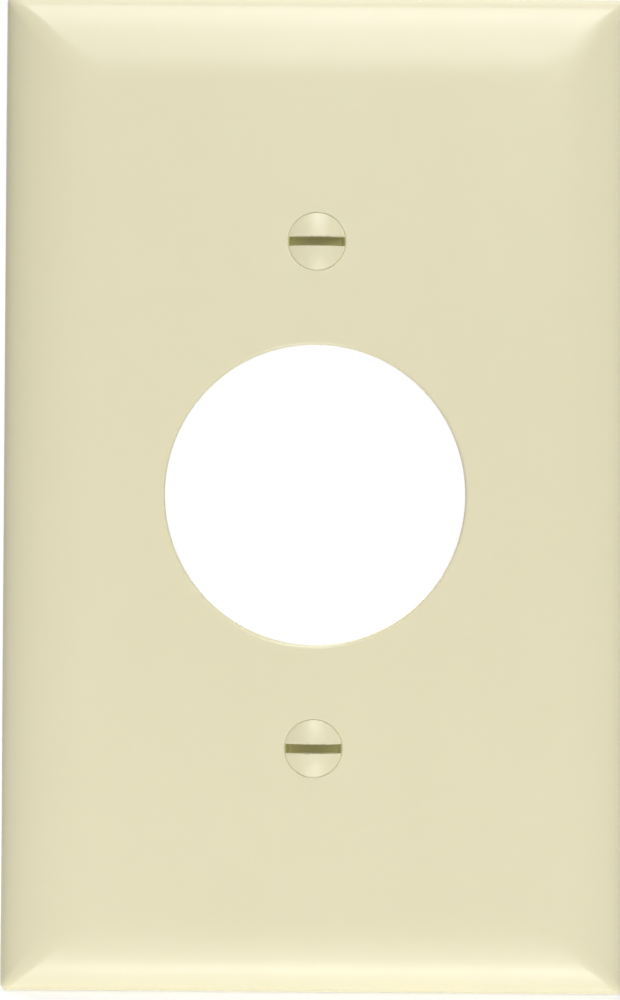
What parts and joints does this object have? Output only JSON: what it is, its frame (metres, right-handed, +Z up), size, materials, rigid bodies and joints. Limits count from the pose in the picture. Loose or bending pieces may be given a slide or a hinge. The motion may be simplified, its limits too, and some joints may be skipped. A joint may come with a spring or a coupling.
{
  "type": "wall plate cover",
  "caption": "Ivory single-receptacle wall plate with a round opening, rolled edges, and oval-head mounting screws held captive by retaining washers.",
  "frame": {"origin": "the plate's centre in the plane of the wall, which is the plane of its rear rim, on the axis of the round opening", "axes": "+Z up, +Y into the wall, so the face looks along -Y, and +X to the right of someone who faces the plate"},
  "size_m": [0.0746, 0.0136, 0.119],
  "materials": {
    "plate_plastic": "smooth moulded ivory, medium gloss",
    "screw_steel": "steel screw with its head painted ivory to match the plate",
    "retainer_nylon": "natural nylon, satin"
  },
  "bodies": {
    "plate": {"plate": "plate_plastic"},
    "upper_retainer": {"upper_retainer": "retainer_nylon"},
    "upper_screw": {"upper_screw": "screw_steel"},
    "lower_retainer": {"lower_retainer": "retainer_nylon"},
    "lower_screw": {"lower_screw": "screw_steel"}
  },
  "joints": [
    {"name": "upper_screw_slide", "type": "slide", "parent": "plate", "child": "upper_retainer", "axis": [0, -1, 0], "range_m": [0, 0.0061]},
    {"name": "upper_screw_turn", "type": "hinge", "parent": "upper_retainer", "child": "upper_screw", "pos_m": [0, 0, 0.03016], "axis": [0, 1, 0], "continuous": true},
    {"name": "lower_screw_slide", "type": "slide", "parent": "plate", "child": "lower_retainer", "axis": [0, -1, 0], "range_m": [0, 0.0061]},
    {"name": "lower_screw_turn", "type": "hinge", "parent": "lower_retainer", "child": "lower_screw", "pos_m": [0, 0, -0.03016], "axis": [0, 1, 0], "continuous": true}
  ]
}
